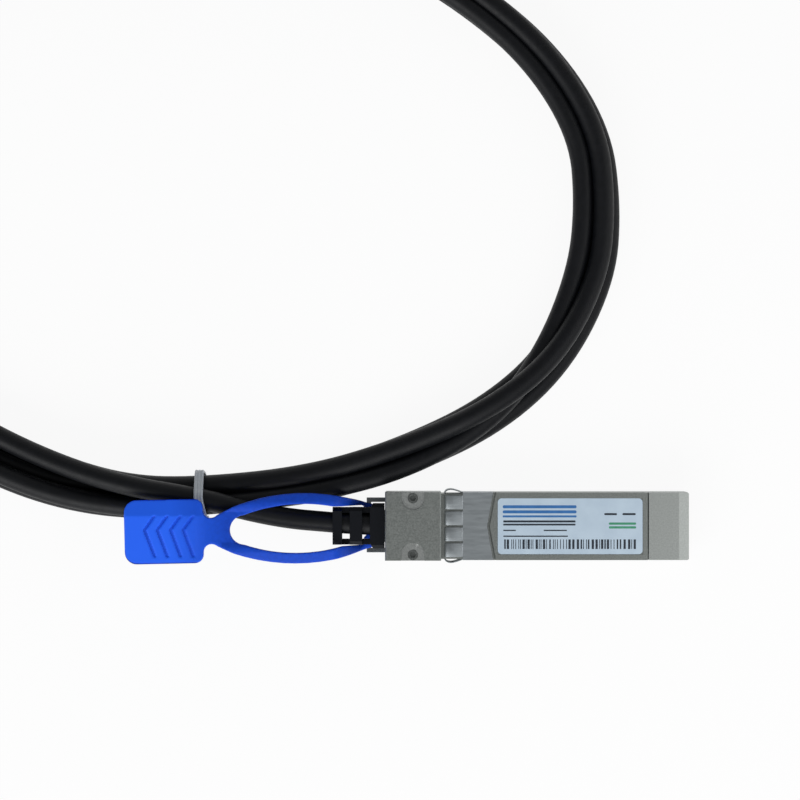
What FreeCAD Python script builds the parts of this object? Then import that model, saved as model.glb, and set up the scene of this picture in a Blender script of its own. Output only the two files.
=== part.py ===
"""Direct attach copper cable: two small-form-factor plugs on a coiled twinax cable, millimetres, +Z up.

The near plug points along +X with the rear edge of its head at X = 0. Its foot and the cable lie on Z = 0.
"""
import FreeCAD, Part
import math
import os

import Sketcher
from FreeCAD import Placement, Rotation, Vector

doc = FreeCAD.newDocument("direct_attach_cable")
sheet = doc.addObject("Spreadsheet::Sheet", "Sizes")
subparts = []


class Size:
    """A length from the sheet, or one worked out from such lengths, with the formula that binds a feature."""

    def __init__(self, value, formula):
        self.value = float(value)
        self.formula = formula

    def joined(self, other, sign, swapped=False):
        if not isinstance(other, Size):
            other = Size(other, f"{other:.6f}")
        a, b = (other, self) if swapped else (self, other)
        worked_out = {
            "+": lambda: a.value + b.value,
            "-": lambda: a.value - b.value,
            "*": lambda: a.value * b.value,
            "/": lambda: a.value / b.value,
        }[sign]()
        return Size(worked_out, f"({a.formula} {sign} {b.formula})")

    def __add__(self, other):
        return self.joined(other, "+")

    def __radd__(self, other):
        return self.joined(other, "+", swapped=True)

    def __sub__(self, other):
        return self.joined(other, "-")

    def __rsub__(self, other):
        return self.joined(other, "-", swapped=True)

    def __mul__(self, other):
        return self.joined(other, "*")

    def __rmul__(self, other):
        return self.joined(other, "*", swapped=True)

    def __truediv__(self, other):
        return self.joined(other, "/")

    def __neg__(self):
        return self.joined(-1, "*")


class Sheet:
    """The driving sizes, each one a cell with an alias and a note of what it measures."""

    row = 0

    def add(self, alias, value, note):
        self.row += 1
        sheet.set(f"A{self.row}", note)
        sheet.set(f"B{self.row}", str(value))
        sheet.setAlias(f"B{self.row}", alias)
        setattr(self, alias, Size(value, f"Sizes.{alias}"))


D = Sheet()
for alias, value, note in [
    ("head_long", 11.1, "head, along the plug"),
    ("head_wide", 13.5, "head, across the plug"),
    ("head_high", 10.6, "head, foot to top"),
    ("nose_tip", 60.2, "head's rear edge to the nose tip"),
    ("body_wide", 13.4, "plug body, across"),
    ("body_low", 0.75, "underside of the plug body above the foot"),
    ("body_high", 8.55, "plug body, underside to top"),
    ("side_wall", 0.8, "side walls of the shell"),
    ("floor_wall", 0.7, "floor between the latch channel and the cavity"),
    ("lid_wall", 1.1, "cover plate over the cavity"),
    ("bridge_long", 8.0, "closed nose in front of the cover"),
    ("bridge_wall", 0.8, "top wall of the nose"),
    ("seam", 0.2, "gap between cover and nose"),
    ("nose_slope", 2.0, "lead-in slope at the nose tip, length"),
    ("nose_drop", 0.5, "lead-in slope at the nose tip, depth"),
    ("edge_break", 0.25, "small chamfer on cast edges"),
    ("lead_room", 1.7, "room for the leads between the cable axis and the cover plate"),
    ("cable_thick", 4.1, "cable, outside diameter"),
    ("boot_long", 10.3, "strain relief behind the head"),
    ("boot_wide", 7.4, "strain relief, across"),
    ("boot_high", 4.9, "strain relief, height"),
    ("flare_wide", 8.9, "strain relief's flare at the head, across"),
    ("flare_long", 2.8, "strain relief's flare, length"),
    ("boot_slot", 1.55, "flex slot, along the cable"),
    ("boot_pitch", 4.0, "flex slots, spacing"),
    ("boot_first", 3.0, "head to the nearest flex slot"),
    ("boot_bar", 2.0, "side bar between the ribs, height"),
    ("boot_room", 5.2, "cable passage in the strain relief, across"),
    ("neck_wide", 6.2, "strain relief neck in the head's rear wall, across"),
    ("neck_high", 4.8, "strain relief neck, height"),
    ("rear_wall", 1.0, "head's rear wall"),
    ("flange_thick", 0.95, "strain relief flange inside the head"),
    ("fit_gap", 0.1, "clearance of fitted pieces"),
    ("ferrule_long", 2.5, "crimp ferrule, length"),
    ("pair_wide", 2.6, "shielded pair, width"),
    ("pair_thick", 1.3, "shielded pair, thickness"),
    ("pair_fall", 7.0, "shielded pair, length of its slope to the card"),
    ("pair_land", 4.0, "shielded pair, from the end of its slope to its tip"),
    ("ferrule_thick", 0.55, "crimp ferrule, wall"),
    ("channel_rear", 3.4, "rear end of the spring chamber"),
    ("channel_step", 9.5, "front end of the spring chamber"),
    ("channel_low", 1.15, "chamber floor above the foot"),
    ("slider_gap", 0.15, "clearance round the latch slider"),
    ("slider_thick", 0.45, "latch slider, sheet thickness"),
    ("slider_rear_low", 2.6, "slider's rear arms, underside"),
    ("arm_inner", 4.6, "slider arm, inner edge from the middle"),
    ("arm_outer", 5.5, "slider arm, outer edge from the middle"),
    ("slider_tail", 3.7, "slider's cross bar behind the head, far edge"),
    ("slider_bar", 0.9, "slider's cross bar, along the plug"),
    ("plate_front", 14.0, "slider plate, front edge"),
    ("prong_inner", 1.9, "slider prong, inner edge from the middle"),
    ("prong_wide", 1.3, "slider prong, width"),
    ("post_rear", 20.0, "latch post, locking face"),
    ("post_long", 3.4, "latch post, along the plug"),
    ("post_wide", 2.7, "latch post, across"),
    ("post_low", 0.15, "latch post, lowest point above the foot"),
    ("pull_travel", 1.8, "travel of the pull tab and the slider"),
    ("collar_gap", 0.8, "spring fingers' free ends in front of the head"),
    ("finger_long", 3.5, "spring fingers, length"),
    ("band_long", 6.0, "spring collar's band, roots of the fingers to the front edge at the sides"),
    ("collar_notch", 1.2, "spring collar, depth of the V in its front edge"),
    ("belly_gap", 1.0, "spring collar's front edge underneath, behind the latch post"),
    ("sheet_thick", 0.2, "spring collar, sheet thickness"),
    ("finger_wide", 2.7, "spring finger, width"),
    ("finger_pitch", 3.15, "spring fingers, spacing"),
    ("finger_rise", 0.4, "spring finger, height of its crown on top"),
    ("side_rise", 0.65, "spring finger, height of its crown at the sides"),
    ("card_drop", 1.2, "circuit card's underside below the cable axis"),
    ("card_thick", 1.0, "circuit card, thickness"),
    ("card_rear", 24.0, "circuit card, rear edge"),
    ("card_set_back", 1.0, "circuit card's leading edge behind the nose tip"),
    ("card_side_gap", 0.4, "gap between the circuit card and each side wall"),
    ("card_edge_wide", 9.2, "circuit card's contact edge, across"),
    ("card_ledge", 0.8, "ledges that carry the card"),
    ("contact_pitch", 0.8, "edge contacts, spacing"),
    ("contact_wide", 0.5, "edge contact, width"),
    ("contact_long", 3.6, "edge contact, length"),
    ("contact_thick", 0.05, "edge contact, thickness"),
    ("label_rear_gap", 0.9, "spring collar to the label's rear edge"),
    ("label_front_gap", 1.0, "label's front edge to the cover's front edge"),
    ("label_wide", 11.1, "label, width"),
    ("label_thick", 0.12, "label, thickness"),
    ("label_sunk", 0.15, "depth of the label's recess"),
    ("label_corner", 0.6, "label, cut of its corners"),
    ("screw_along", 5.5, "cover screws behind the head's rear edge"),
    ("screw_edge", 0.15, "wall between a cover screw's head and the head's side"),
    ("screw_head", 2.0, "cover screw, head diameter"),
    ("screw_head_thick", 0.8, "cover screw, head thickness"),
    ("screw_shank", 1.0, "cover screw, shank diameter"),
    ("screw_key", 1.1, "cover screw, socket across flats"),
    ("pad_round", 2.35, "radius of the sunk pad round each screw"),
    ("pad_sunk", 0.3, "depth of the sunk pad"),
    ("tab_thick", 1.8, "pull tab, thickness"),
    ("tab_front", 2.4, "pull tab, front edge behind the head"),
    ("tab_low", 1.93, "pull tab, underside at the head"),
    ("tab_bend", 4.7, "pull tab, where it starts to rise"),
    ("tab_knee", 9.0, "pull tab, where its rise eases"),
    ("tab_knee_low", 8.3, "pull tab, underside at that place"),
    ("tab_level", 2.8, "pull tab, how far before the cable tie it levels out"),
    ("tab_clear", 4.5, "pull tab, underside of the level pad above the coil bundle"),
    ("ring_front_wall", 0.7, "pull tab ring, web at its front end"),
    ("ring_far_wall", 2.5, "pull tab ring, web at its far end"),
    ("ring_wall", 2.12, "pull tab ring, web at its widest place"),
    ("ring_wide", 13.9, "pull tab ring, widest"),
    ("ring_end_wide", 9.2, "pull tab ring, width at its two ends"),
    ("ring_end", 29.8, "pull tab ring, far end"),
    ("neck_run", 3.2, "pull tab neck, ring to the narrowest place"),
    ("neck_tab_wide", 6.1, "pull tab neck, width"),
    ("neck_out", 2.7, "pull tab neck, narrowest place to the finger pad"),
    ("pad_long", 15.5, "finger pad, length"),
    ("pad_wide", 12.6, "finger pad, width"),
    ("pad_corner", 2.4, "finger pad, corner radius"),
    ("rib_pitch", 2.5, "chevron grooves, spacing"),
    ("rib_deep", 0.3, "chevron groove, depth"),
    ("rib_wide", 0.7, "chevron groove, width"),
    ("rib_reach", 4.6, "chevron groove, half its height"),
    ("rib_slant", 1.9, "chevron groove, slant of each arm"),
    ("rib_inset", 3.7, "pad's near edge to the apex of the first chevron groove"),
    ("coil_right", 47.1, "coil, outer edge on the right"),
    ("coil_left", 116.0, "coil, outer edge on the left"),
    ("coil_low", 2.7, "coil, outer edge nearest the near plug"),
    ("coil_low_at", 34.1, "where that edge lies behind the near plug"),
    ("coil_mid", 64.0, "middle of the coil from the near plug's axis"),
    ("coil_right_bend", 54.3, "coil, outer radius at the right"),
    ("coil_left_bend", 54.3, "coil, outer radius at the left"),
    ("coil_wide", 7.8, "coil bundle, width"),
    ("coil_high", 8.1, "coil bundle, height"),
    ("coil_flank", 2.85, "coil bundle, height of its outer side"),
    ("tie_wide", 1.8, "cable tie, width"),
    ("tie_thick", 0.6, "cable tie, thickness"),
    ("tie_at", 36.8, "cable tie behind the near plug"),
    ("tie_head", 3.2, "cable tie's head, length and width"),
]:
    D.add(alias, value, note)
doc.recompute()

ends = {"near": (Vector(0, 0, 0), 1), "far": (Vector(0, 2 * D.coil_mid.value, 0), -1)}
ALL_THROUGH = 40  # longer than any cut that runs right through a piece


def amount(number):
    """The plain value of a size or a number."""
    return number.value if isinstance(number, Size) else float(number)


def bind(thing, name, number):
    """Binds one property of a feature to the sheet, or sets it where the number is a plain one."""
    if isinstance(number, Size):
        thing.setExpression(name, number.formula)
    else:
        setattr(thing, name, number)


def new_body(end, name):
    """An empty body for one sub-part, placed at its end of the cable."""
    body = doc.addObject("PartDesign::Body", f"{end}_{name}")
    body.Label = f"{end}_{name}"
    place = ends[end][0]
    body.Placement = Placement(place, Rotation())
    if end == "far":
        body.setExpression("Placement.Base.y", "2 * Sizes.coil_mid")
    subparts.append(body)
    return body


def add_wire(drawn, corners):
    """Draws one closed outline: corners are (x, y), or (x, y, radius) where an arc leads to the next corner.

    A positive radius has its centre on the left of the way along the outline, a negative one on the right.
    """
    first = drawn.GeometryCount
    ends_of = []
    count = len(corners)
    for i, corner in enumerate(corners):
        ax, ay = (amount(v) for v in corner[:2])
        bx, by = (amount(v) for v in corners[(i + 1) % count][:2])
        if len(corner) == 2:
            drawn.addGeometry(Part.LineSegment(Vector(ax, ay, 0), Vector(bx, by, 0)))
            ends_of.append((1, 2))
            continue
        radius = amount(corner[2])
        across = math.hypot(bx - ax, by - ay)
        side = math.copysign(math.sqrt(radius**2 - across**2 / 4), radius)
        cx = (ax + bx) / 2 - (by - ay) / across * side
        cy = (ay + by) / 2 + (bx - ax) / across * side
        start, stop = math.atan2(ay - cy, ax - cx), math.atan2(by - cy, bx - cx)
        turned = (start, stop) if radius > 0 else (stop, start)
        circle = Part.Circle(Vector(cx, cy, 0), Vector(0, 0, 1), abs(radius))
        drawn.addGeometry(Part.ArcOfCircle(circle, *turned))
        ends_of.append((1, 2) if radius > 0 else (2, 1))
    for i, corner in enumerate(corners):
        here, after = first + i, first + (i + 1) % count
        meeting = (here, ends_of[i][1], after, ends_of[(i + 1) % count][0])
        drawn.addConstraint(Sketcher.Constraint("Coincident", *meeting))
        for kind, number in zip(("DistanceX", "DistanceY"), corner[:2]):
            at = drawn.addConstraint(Sketcher.Constraint(kind, -1, 1, here, ends_of[i][0], amount(number)))
            if isinstance(number, Size):
                drawn.setExpression(f"Constraints[{at}]", number.formula)
        if len(corner) == 3:
            at = drawn.addConstraint(Sketcher.Constraint("Radius", here, abs(amount(corner[2]))))
            if isinstance(corner[2], Size) and corner[2].value > 0:
                drawn.setExpression(f"Constraints[{at}]", corner[2].formula)


def sketch(body, plane, *outlines, lift=0, lean=0):
    """A sketch on one of the body's own origin planes, lifted along its normal and leaned in its plane."""
    drawn = body.newObject("Sketcher::SketchObject", f"{body.Name}_sketch")
    origin = next(f for f in body.Origin.OriginFeatures if f.Role == plane)
    drawn.AttachmentSupport = [(origin, "")]
    drawn.MapMode = "FlatFace"
    drawn.AttachmentOffset = Placement(Vector(0, 0, amount(lift)), Rotation(Vector(0, 0, 1), lean))
    if isinstance(lift, Size):
        drawn.setExpression("AttachmentOffset.Base.z", lift.formula)
    for corners in outlines:
        add_wire(drawn, corners)
    return drawn


def box_outline(x0, x1, y0, y1):
    return [(x0, y0), (x1, y0), (x1, y1), (x0, y1)]


def wide_outline(x0, x1, width):
    """A rectangle from x0 to x1, centred across."""
    return box_outline(x0, x1, -width / 2, width / 2)


def many_sided(count, centre, half_flats):
    """A regular outline of so many sides, by the distance from its middle to its flats."""
    turns = [2 * math.pi / count * i for i in range(count)]
    reach = [(math.cos(a) / math.cos(math.pi / count), math.sin(a) / math.cos(math.pi / count)) for a in turns]
    return [(centre[0] + half_flats * round(x, 6), centre[1] + half_flats * round(y, 6)) for x, y in reach]


def circle_sketch(body, plane, centre, *diameters, lift=0):
    drawn = sketch(body, plane, lift=lift)
    for diameter in diameters:
        at = Vector(amount(centre[0]), amount(centre[1]), 0)
        n = drawn.addGeometry(Part.Circle(at, Vector(0, 0, 1), amount(diameter) / 2))
        for kind, number in zip(("DistanceX", "DistanceY"), centre):
            c = drawn.addConstraint(Sketcher.Constraint(kind, -1, 1, n, 3, amount(number)))
            if isinstance(number, Size):
                drawn.setExpression(f"Constraints[{c}]", number.formula)
        c = drawn.addConstraint(Sketcher.Constraint("Diameter", n, amount(diameter)))
        if isinstance(diameter, Size):
            drawn.setExpression(f"Constraints[{c}]", diameter.formula)
    return drawn


def feature(body, kind, drawn, length, midplane=False, backwards=False):
    made = body.newObject(f"PartDesign::{kind}", f"{body.Name}_{kind.lower()}")
    made.Profile = drawn
    bind(made, "Length", length)
    made.Midplane = midplane
    made.Reversed = backwards
    drawn.Visibility = False
    return made


def pad(body, drawn, length, **how):
    return feature(body, "Pad", drawn, length, **how)


def pocket(body, drawn, length, **how):
    """A cut that has to take something away."""
    doc.recompute()
    before = body.Shape.Volume
    made = feature(body, "Pocket", drawn, length, **how)
    doc.recompute()
    if not body.Shape.Volume < before - 1e-4:
        raise RuntimeError(f"{body.Label}: a pocket cuts nothing")
    return made


def pattern(body, source, axis, length, count):
    made = body.newObject("PartDesign::LinearPattern", f"{body.Name}_pattern")
    made.Originals = [source]
    made.Direction = (next(f for f in body.Origin.OriginFeatures if f.Role == axis), [""])
    bind(made, "Length", length)
    made.Occurrences = count
    body.Tip = made
    return made


def dress(body, kind, size, wanted):
    """A fillet or chamfer on every edge that wanted(edge) picks."""
    doc.recompute()
    picked = [f"Edge{i + 1}" for i, edge in enumerate(body.Tip.Shape.Edges) if wanted(edge)]
    if not picked:
        raise RuntimeError(f"{body.Label}: no edge to dress")
    made = body.newObject(f"PartDesign::{kind}", f"{body.Name}_{kind.lower()}")
    made.Base = (body.Tip if body.Tip is not made else made.BaseFeature, picked)
    bind(made, "Radius" if kind == "Fillet" else "Size", size)
    return made


def along(edge, axis):
    """Whether an edge is a straight one that runs along an axis."""
    run = edge.Vertexes[-1].Point - edge.Vertexes[0].Point
    return len(edge.Vertexes) == 2 and run.Length > 1e-6 and abs(run.normalize().dot(axis)) > 0.999


def near(value, number, within=0.02):
    return abs(value - amount(number)) < within


X_AXIS, Y_AXIS, Z_AXIS = Vector(1, 0, 0), Vector(0, 1, 0), Vector(0, 0, 1)

body_top = D.body_low + D.body_high
lid_low = body_top - D.lid_wall
cable_axis = lid_low - D.lead_room
cover_front = D.nose_tip - D.bridge_long - D.seam
bridge_rear = D.nose_tip - D.bridge_long
cavity_wide = D.body_wide - 2 * D.side_wall
slider_low = D.channel_low + D.slider_gap
channel_roof = slider_low + D.slider_thick + D.slider_gap
channel_high = D.slider_rear_low + D.slider_thick + D.slider_gap
channel_wide = 2 * (D.arm_outer + D.slider_gap)
cavity_low = channel_roof + D.floor_wall
collar_rear = D.head_long + D.collar_gap
finger_root = collar_rear + D.finger_long
collar_front = finger_root + D.band_long
collar_belly = D.post_rear - D.belly_gap
flange_front = D.rear_wall + D.flange_thick + D.fit_gap
boot_low = cable_axis - D.boot_high / 2
boot_top = cable_axis + D.boot_high / 2
ferrule_rear = flange_front + 0.2
ferrule_front = ferrule_rear + D.ferrule_long
ferrule_wide = D.cable_thick + 2 * D.ferrule_thick
channel_front = D.post_rear + D.post_long + 1.1
prong_tip = D.post_rear + D.post_long - 0.6
step_rear = D.channel_rear + D.pull_travel + 0.4
plate_rear = D.channel_step - 0.5
recess_wide = D.body_wide - 2 * (D.sheet_thick + 0.03)
card_front = D.nose_tip - D.card_set_back
card_low = cable_axis - D.card_drop
card_top = card_low + D.card_thick
card_wide = cavity_wide - 2 * D.card_side_gap
label_rear = collar_front + D.label_rear_gap
label_front = cover_front - D.label_front_gap
screw_off = D.head_wide / 2 - D.screw_head / 2 - D.screw_edge
screw_hole = D.screw_shank / 2 + 0.02
screw_deep = cable_axis - channel_high - 0.5
screw_seat = D.head_high - D.pad_sunk - D.screw_head_thick
neck_far = D.ring_end + D.neck_run
pad_near = neck_far + D.neck_out
pad_far = pad_near + D.pad_long
tab_crest = D.tie_at - D.tab_level
tab_crest_low = D.coil_high + D.tab_clear
hole_near, hole_far = D.tab_front + D.ring_front_wall, neck_far - D.ring_far_wall


def rear_room(body, low, high):
    """Room in a shell half for the strain relief's neck and flange, the ferrule and the wires behind it."""
    parting = cable_axis
    room_front = D.head_long if low else D.head_long - 0.6
    steps = [
        (-D.fit_gap, D.rear_wall, D.neck_wide + 2 * D.fit_gap, D.neck_high / 2 + D.fit_gap),
        (D.rear_wall, flange_front, D.boot_wide + 2 * D.fit_gap, D.boot_high / 2 + D.fit_gap),
        (flange_front, room_front, D.boot_wide, ferrule_wide / 2 + D.fit_gap),
        (room_front - 0.1, D.head_long + 0.1, D.pair_wide + 1, lid_low - cable_axis),
    ]
    for x0, x1, width, depth in steps[: 3 if low else 4]:
        z0, z1 = (parting - depth, parting) if low else (parting, parting + depth)
        outline = box_outline(x0, x1, z0, z1)
        pocket(body, sketch(body, "XZ_Plane", outline), width, midplane=True)


def base_shell(end):
    """The die-cast lower shell: head, open trough, closed nose, latch channel and latch post in one casting."""
    body = new_body(end, "base_shell")
    head = box_outline(0, D.head_long, 0, cable_axis)
    pad(body, sketch(body, "XZ_Plane", head), D.head_wide, midplane=True)
    trough = [
        (D.head_long - 0.5, D.body_low),
        (D.nose_tip - D.nose_slope, D.body_low),
        (D.nose_tip, D.body_low + D.nose_drop),
        (D.nose_tip, body_top - D.nose_drop),
        (D.nose_tip - D.nose_slope, body_top),
        (bridge_rear, body_top),
        (bridge_rear, lid_low),
        (D.head_long, lid_low),
        (D.head_long, cable_axis),
        (D.head_long - 0.5, cable_axis),
    ]
    pad(body, sketch(body, "XZ_Plane", trough), D.body_wide, midplane=True)
    # the cavity: a lower part between the card's ledges and a wider part above them
    half_low, half_high = (cavity_wide - 2 * D.card_ledge) / 2, cavity_wide / 2
    section = [
        (-half_low, cavity_low),
        (half_low, cavity_low),
        (half_low, card_low),
        (half_high, card_low),
        (half_high, body_top - D.bridge_wall),
        (-half_high, body_top - D.bridge_wall),
        (-half_high, card_low),
        (-half_low, card_low),
    ]
    pocket(body, sketch(body, "YZ_Plane", section, lift=D.head_long - 0.1), D.nose_tip, backwards=True)
    # in front of the cover the socket takes the whole width and is open underneath
    socket = box_outline(bridge_rear + 0.9, D.nose_tip + 1, D.body_low - 1, card_low + 0.5)
    pocket(body, sketch(body, "XZ_Plane", socket), cavity_wide, midplane=True)
    rear_room(body, low=True, high=False)
    # spring chamber, latch channel and the two slots for the slider's arms
    chamber = [
        (D.channel_rear, D.channel_low),
        (D.head_long, D.channel_low),
        (D.head_long, D.body_low - 1),
        (channel_front, D.body_low - 1),
        (channel_front, channel_roof),
        (D.channel_step, channel_roof),
        (D.channel_step, channel_high),
        (D.channel_rear, channel_high),
    ]
    pocket(body, sketch(body, "XZ_Plane", chamber), channel_wide, midplane=True)
    arm_low, arm_high = D.slider_rear_low - D.slider_gap, channel_high
    arm_in, arm_out = D.arm_inner - D.slider_gap, D.arm_outer + D.slider_gap
    both_slots = [box_outline(side * arm_in, side * arm_out, arm_low, arm_high) for side in (1, -1)]
    pocket(body, sketch(body, "YZ_Plane", *both_slots, lift=-0.5), D.channel_rear + 0.6, backwards=True)
    # the triangular latch post hangs from the channel's roof
    post = [
        (D.post_rear, -D.post_wide / 2),
        (D.post_rear + D.post_long, 0),
        (D.post_rear, D.post_wide / 2),
    ]
    pad(body, sketch(body, "XY_Plane", post, lift=D.post_low), channel_roof - D.post_low + 0.1)
    # seat for the spring collar, round the sides and underneath
    seat_front = collar_front + 0.05
    half, inner = D.body_wide / 2 + 1, recess_wide / 2
    frame = [
        (-half, D.body_low - 1),
        (half, D.body_low - 1),
        (half, body_top + 1),
        (inner, body_top + 1),
        (inner, D.body_low + D.sheet_thick + 0.03),
        (-inner, D.body_low + D.sheet_thick + 0.03),
        (-inner, body_top + 1),
        (-half, body_top + 1),
    ]
    seat_long = seat_front - D.head_long
    drawn = sketch(body, "YZ_Plane", frame, lift=D.head_long)
    pocket(body, drawn, seat_long, backwards=True)
    pad(body, sketch(body, "XY_Plane", post, lift=D.post_low), channel_roof - D.post_low + 0.1)
    # blind holes for the two cover screws
    for side in (1, -1):
        thread = many_sided(12, (D.screw_along, side * screw_off), screw_hole)
        pocket(body, sketch(body, "XY_Plane", thread, lift=cable_axis), screw_deep)
    # broken corners at the nose and at the head's rear
    for x, wide in ((D.nose_tip, D.body_wide), (0, D.head_wide)):
        at_corner = lambda e: near(e.BoundBox.XMax, x) and near(abs(e.BoundBox.YMax), wide / 2)
        dress(body, "Chamfer", D.edge_break, lambda e: along(e, Z_AXIS) and at_corner(e))
    return body


def top_cover(end):
    """The die-cast cover: the head's upper half with its screw pads, and the lid over the trough."""
    body = new_body(end, "top_cover")
    profile = [
        (0, cable_axis),
        (D.head_long, cable_axis),
        (D.head_long, D.head_high),
        (0, D.head_high),
    ]
    pad(body, sketch(body, "XZ_Plane", profile), D.head_wide, midplane=True)
    lid = box_outline(D.head_long - 1, cover_front, lid_low, body_top)
    pad(body, sketch(body, "XZ_Plane", lid), D.body_wide, midplane=True)
    # a rib under the lid drops between the trough's side walls and locates the cover
    rib = box_outline(collar_front + 1.5, cover_front - 1.5, lid_low - 0.5, lid_low + 0.1)
    pad(body, sketch(body, "XZ_Plane", rib), cavity_wide - 2 * D.fit_gap, midplane=True)
    hollow = box_outline(collar_front + 2.4, cover_front - 2.4, lid_low - 0.6, lid_low)
    pocket(body, sketch(body, "XZ_Plane", hollow), cavity_wide - 2, midplane=True)
    rear_room(body, low=False, high=True)
    # the seat of the spring collar ends in a V that points at the head
    seat_front = collar_front + 0.05
    half = D.body_wide / 2 + 1
    seat = [
        (D.head_long, -half),
        (seat_front, -half),
        (seat_front, -D.body_wide / 2),
        (seat_front - D.collar_notch, 0),
        (seat_front, D.body_wide / 2),
        (seat_front, half),
        (D.head_long, half),
    ]
    depth = D.sheet_thick + 0.03
    pocket(body, sketch(body, "XY_Plane", seat, lift=body_top), depth)
    for side in (1, -1):
        flank = box_outline(D.head_long, seat_front, side * recess_wide / 2, side * half)
        pocket(body, sketch(body, "XY_Plane", flank, lift=body_top), D.lid_wall + 0.5)
    label_seat = wide_outline(label_rear - 0.05, label_front + 0.05, D.label_wide + 0.1)
    pocket(body, sketch(body, "XY_Plane", label_seat, lift=body_top), D.label_sunk)
    for side in (1, -1):
        edge = side * (D.head_wide / 2 + 0.5)
        pad_outline = [
            (D.screw_along + D.pad_round, edge),
            (D.screw_along + D.pad_round, side * screw_off, side * -D.pad_round.value),
            (D.screw_along - D.pad_round, side * screw_off),
            (D.screw_along - D.pad_round, edge),
        ]
        pocket(body, sketch(body, "XY_Plane", pad_outline, lift=D.head_high), D.pad_sunk)
        centre = (D.screw_along, side * screw_off)
        wide_hole = circle_sketch(body, "XY_Plane", centre, D.screw_head + 0.06, lift=D.head_high)
        pocket(body, wide_hole, D.pad_sunk + D.screw_head_thick)
        thread = many_sided(12, centre, screw_hole)
        pocket(body, sketch(body, "XY_Plane", thread, lift=D.head_high), ALL_THROUGH)
    at_top = lambda e: near(e.BoundBox.ZMax, D.head_high) and near(e.Length, D.head_wide, 0.1)
    dress(body, "Chamfer", D.edge_break, lambda e: along(e, Y_AXIS) and at_top(e))
    return body


def spring_collar(end):
    """The stamped grounding collar: a band round the plug with bowed spring fingers on all four sides."""
    body = new_body(end, "spring_collar")
    half, thick = D.body_wide / 2, D.sheet_thick
    outer = box_outline(-half, half, D.body_low, body_top)
    inner = box_outline(-half + thick, half - thick, D.body_low + thick, body_top - thick)
    pad(body, sketch(body, "YZ_Plane", outer, inner, lift=finger_root), collar_front - finger_root)
    # the front edge: a V on top, cut short underneath to clear the latch post
    notch = [
        (collar_front + 1, -half),
        (collar_front + 1, half),
        (collar_front, half),
        (collar_front - D.collar_notch, 0),
        (collar_front, -half),
    ]
    pocket(body, sketch(body, "XY_Plane", notch, lift=body_top + 1), 1 + 2 * thick)
    belly = wide_outline(collar_belly, collar_front + 1, D.body_wide)
    pocket(body, sketch(body, "XY_Plane", belly, lift=D.body_low - 1), 1 + 1.5 * thick, backwards=True)

    def strip(level, rise, outwards):
        """A finger's side view: free end, crown and root, one sheet thick."""
        crown = collar_rear + 1.2
        below = -outwards * thick
        top = [(finger_root, level), (crown + 0.8, level + outwards * rise), (crown, level + outwards * rise)]
        top += [(collar_rear, level)]
        return top + [(x, y + below) for x, y in reversed(top)]

    row = 1.5 * D.finger_pitch
    for level, outwards in ((body_top, 1), (D.body_low, -1)):
        drawn = sketch(body, "XZ_Plane", strip(level, D.finger_rise, outwards), lift=row - D.finger_wide / 2)
        finger = pad(body, drawn, D.finger_wide)
        pattern(body, finger, "Y_Axis", 3 * D.finger_pitch, 4)
    side_row = body_top - D.body_high / 2 - D.finger_pitch / 2
    for level, outwards in ((half, 1), (-half, -1)):
        drawn = sketch(
            body, "XY_Plane", strip(level, D.side_rise, outwards), lift=side_row - D.finger_wide / 2
        )
        finger = pad(body, drawn, D.finger_wide)
        pattern(body, finger, "Z_Axis", D.finger_pitch, 2)
    return body


def label(end):
    """The identification label, a thin film in the cover's recess."""
    body = new_body(end, "label")
    outline = wide_outline(label_rear, label_front, D.label_wide)
    pad(body, sketch(body, "XY_Plane", outline, lift=body_top - D.label_sunk), D.label_thick)
    dress(body, "Chamfer", D.label_corner, lambda e: along(e, Z_AXIS))
    return body


def paddle_card(end):
    """The circuit card: wide where it lies on the ledges, narrow where it enters the host's connector."""
    body = new_body(end, "paddle_card")
    half, edge_half = card_wide / 2, D.card_edge_wide / 2
    outline = [
        (D.card_rear, -half),
        (bridge_rear, -half),
        (bridge_rear, -edge_half),
        (card_front, -edge_half),
        (card_front, edge_half),
        (bridge_rear, edge_half),
        (bridge_rear, half),
        (D.card_rear, half),
    ]
    pad(body, sketch(body, "XY_Plane", outline, lift=card_low), D.card_thick)
    dress(body, "Chamfer", 0.3, lambda e: along(e, Y_AXIS) and near(e.BoundBox.XMax, card_front))
    return body


def group(end, name, shapes):
    """A node of separate like solids, at its end of the cable."""
    made = doc.addObject("Part::Feature", f"{end}_{name}")
    made.Label = f"{end}_{name}"
    made.Shape = Part.makeCompound(shapes)
    made.Placement = Placement(ends[end][0], Rotation())
    subparts.append(made)
    return made


def edge_contacts(end):
    """Ten gold contacts on each face of the card's leading edge."""
    shapes = []
    front = amount(card_front) - 0.55
    for face in (amount(card_low) - amount(D.contact_thick), amount(card_top)):
        for i in range(10):
            middle = (i - 4.5) * amount(D.contact_pitch)
            corner = Vector(front - amount(D.contact_long), middle - amount(D.contact_wide) / 2, face)
            shapes.append(Part.makeBox(*map(amount, (D.contact_long, D.contact_wide, D.contact_thick)), corner))
    return group(end, "edge_contacts", shapes)


def card_chips(end):
    """The memory chip and four small capacitors on the card's top face."""
    top = amount(card_top)
    shapes = [Part.makeBox(3.0, 2.0, 0.75, Vector(38.0, -1.0, top))]
    for along_card in (44.0, 46.2):
        for across in (-2.6, 1.6):
            shapes.append(Part.makeBox(0.6, 1.0, 0.5, Vector(along_card, across, top)))
    return group(end, "card_chips", shapes)


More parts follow.
